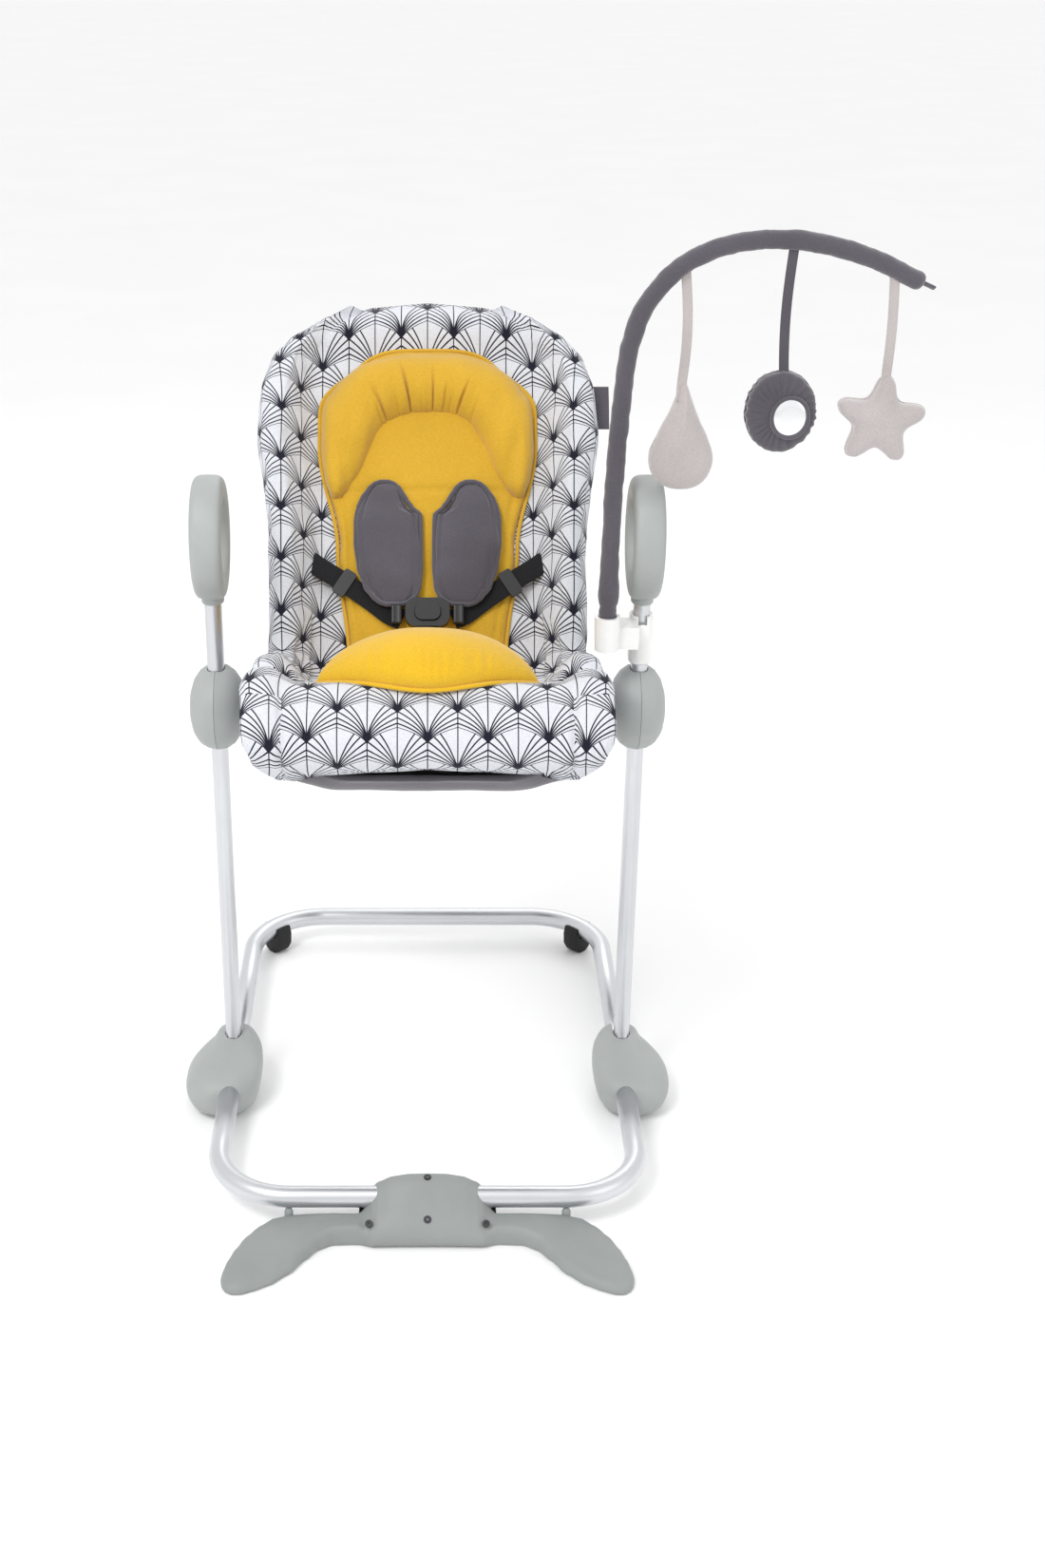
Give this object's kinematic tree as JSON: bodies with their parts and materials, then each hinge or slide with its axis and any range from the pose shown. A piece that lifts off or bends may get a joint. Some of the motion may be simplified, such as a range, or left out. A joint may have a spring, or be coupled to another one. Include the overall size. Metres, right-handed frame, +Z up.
{
  "type": "bouncer seat",
  "caption": "Baby bouncer seat that slides up and down a folding tube stand, reclines, has a harness and carries a swivelling toy arch.",
  "frame": {"origin": "on the floor, in the symmetry plane, under the middle of the front bar", "axes": "+Z up, +X to the right of someone facing the seat, +Y towards the seat's back"},
  "size_m": [0.8374, 0.8169, 1.0727],
  "materials": {
    "aluminium_tube": "satin anodised",
    "steel": "zinc plated",
    "grey_plastic": "fine matt texture",
    "foot_plastic": "matt",
    "white_plastic": "semi-gloss",
    "black_plastic": "satin",
    "rubber": "matt",
    "patterned_fabric": "padded jersey printed with fans",
    "dark_fabric": "brushed jersey",
    "yellow_fabric": "cotton jersey",
    "webbing": "woven polyester",
    "toy_plush": "velour",
    "mirror": "acrylic mirror"
  },
  "bodies": {
    "base": {"front_hoop": "aluminium_tube", "rear_hoop": "aluminium_tube", "hub_right": "grey_plastic", "hub_left": "grey_plastic", "fold_pin_right": "steel", "fold_pin_left": "steel", "front_foot": "foot_plastic", "foot_base_plate": "black_plastic", "foot_screw_top": "steel", "foot_screw_middle": "steel", "foot_screw_right": "steel", "foot_screw_left": "steel", "rear_foot_right": "rubber", "rear_foot_left": "rubber"},
    "snap_right": {"snap_button_right": "steel"},
    "snap_left": {"snap_button_left": "steel"},
    "stand": {"upright_right": "aluminium_tube", "upright_left": "aluminium_tube", "ring_handle_right": "grey_plastic", "ring_handle_left": "grey_plastic", "arch_clamp": "white_plastic"},
    "carriage": {"housing_outer_right": "grey_plastic", "housing_outer_left": "grey_plastic", "housing_inner_right": "grey_plastic", "housing_inner_left": "grey_plastic"},
    "trigger_right": {"release_trigger_right": "white_plastic"},
    "trigger_left": {"release_trigger_left": "white_plastic"},
    "latch_right": {"latch_pin_right": "steel"},
    "latch_left": {"latch_pin_left": "steel"},
    "seat": {"seat_frame": "steel", "recline_hub_right": "grey_plastic", "recline_hub_left": "grey_plastic", "seat_cover": "patterned_fabric", "back_panel": "dark_fabric", "seat_insert": "yellow_fabric", "head_bolster": "yellow_fabric", "front_cushion": "yellow_fabric", "shoulder_pad_right": "dark_fabric", "shoulder_pad_left": "dark_fabric", "shoulder_strap_right": "webbing", "shoulder_strap_left": "webbing", "waist_strap_right": "webbing", "waist_strap_left": "webbing", "waist_slider_right": "black_plastic", "waist_slider_left": "black_plastic", "crotch_strap": "webbing", "buckle": "black_plastic", "side_tag": "dark_fabric"},
    "buckle_press": {"buckle_button": "black_plastic"},
    "arch": {"arch_sleeve": "dark_fabric", "arch_tip": "dark_fabric"},
    "drop": {"toy_drop": "toy_plush"},
    "ring": {"toy_ring": "dark_fabric", "toy_mirror": "mirror"},
    "star": {"toy_star": "toy_plush"}
  },
  "joints": [
    {"name": "stand_fold", "type": "hinge", "parent": "base", "child": "stand", "pos_m": [0, 0.2865, 0.066], "axis": [-1, 0, 0], "range_deg": [0, 55]},
    {"name": "height_slide", "type": "slide", "parent": "stand", "child": "carriage", "axis": [0, 0, 1], "range_m": [-0.33, 0]},
    {"name": "seat_recline", "type": "hinge", "parent": "carriage", "child": "seat", "pos_m": [0, 0.2865, 0.5245], "axis": [-1, 0, 0], "range_deg": [0, 28]},
    {"name": "arch_swivel", "type": "hinge", "parent": "stand", "child": "arch", "pos_m": [0.2025, 0.2465, 0.63], "axis": [0, 0, -1], "range_deg": [0, 180]},
    {"name": "drop_swing", "type": "hinge", "parent": "arch", "child": "drop", "pos_m": [0.2695, 0.2465, 1.0383], "axis": [1, 0, 0], "range_deg": [-40, 40]},
    {"name": "ring_swing", "type": "hinge", "parent": "arch", "child": "ring", "pos_m": [0.3805, 0.2465, 1.0623], "axis": [1, 0, 0], "range_deg": [-40, 40]},
    {"name": "star_swing", "type": "hinge", "parent": "arch", "child": "star", "pos_m": [0.4875, 0.2465, 1.0328], "axis": [1, 0, 0], "range_deg": [-40, 40]},
    {"name": "buckle_push", "type": "slide", "parent": "seat", "child": "buckle_press", "axis": [0, 0.853, -0.522], "range_m": [0, 0.002], "stiffness_N_per_m": 900, "springref_m": -0.002},
    {"name": "trigger_right_squeeze", "type": "slide", "parent": "carriage", "child": "trigger_right", "axis": [-1, 0, 0], "range_m": [0, 0.004], "stiffness_N_per_m": 800, "springref_m": -0.003},
    {"name": "latch_right_draw", "type": "slide", "parent": "carriage", "child": "latch_right", "axis": [1, 0, 0], "range_m": [0, 0.0045]},
    {"name": "snap_right_push", "type": "slide", "parent": "base", "child": "snap_right", "axis": [-0.7659, 0, -0.6429], "range_m": [0, 0.0025], "stiffness_N_per_m": 1500, "springref_m": -0.002},
    {"name": "trigger_left_squeeze", "type": "slide", "parent": "carriage", "child": "trigger_left", "axis": [1, 0, 0], "range_m": [0, 0.004], "stiffness_N_per_m": 800, "springref_m": -0.003},
    {"name": "latch_left_draw", "type": "slide", "parent": "carriage", "child": "latch_left", "axis": [-1, 0, 0], "range_m": [0, 0.0045]},
    {"name": "snap_left_push", "type": "slide", "parent": "base", "child": "snap_left", "axis": [0.7659, 0, -0.6429], "range_m": [0, 0.0025], "stiffness_N_per_m": 1500, "springref_m": -0.002}
  ],
  "couplings": [
    {"joint": "latch_right_draw", "follows": "trigger_right_squeeze", "ratio": 1.125},
    {"joint": "latch_left_draw", "follows": "trigger_left_squeeze", "ratio": 1.125}
  ]
}
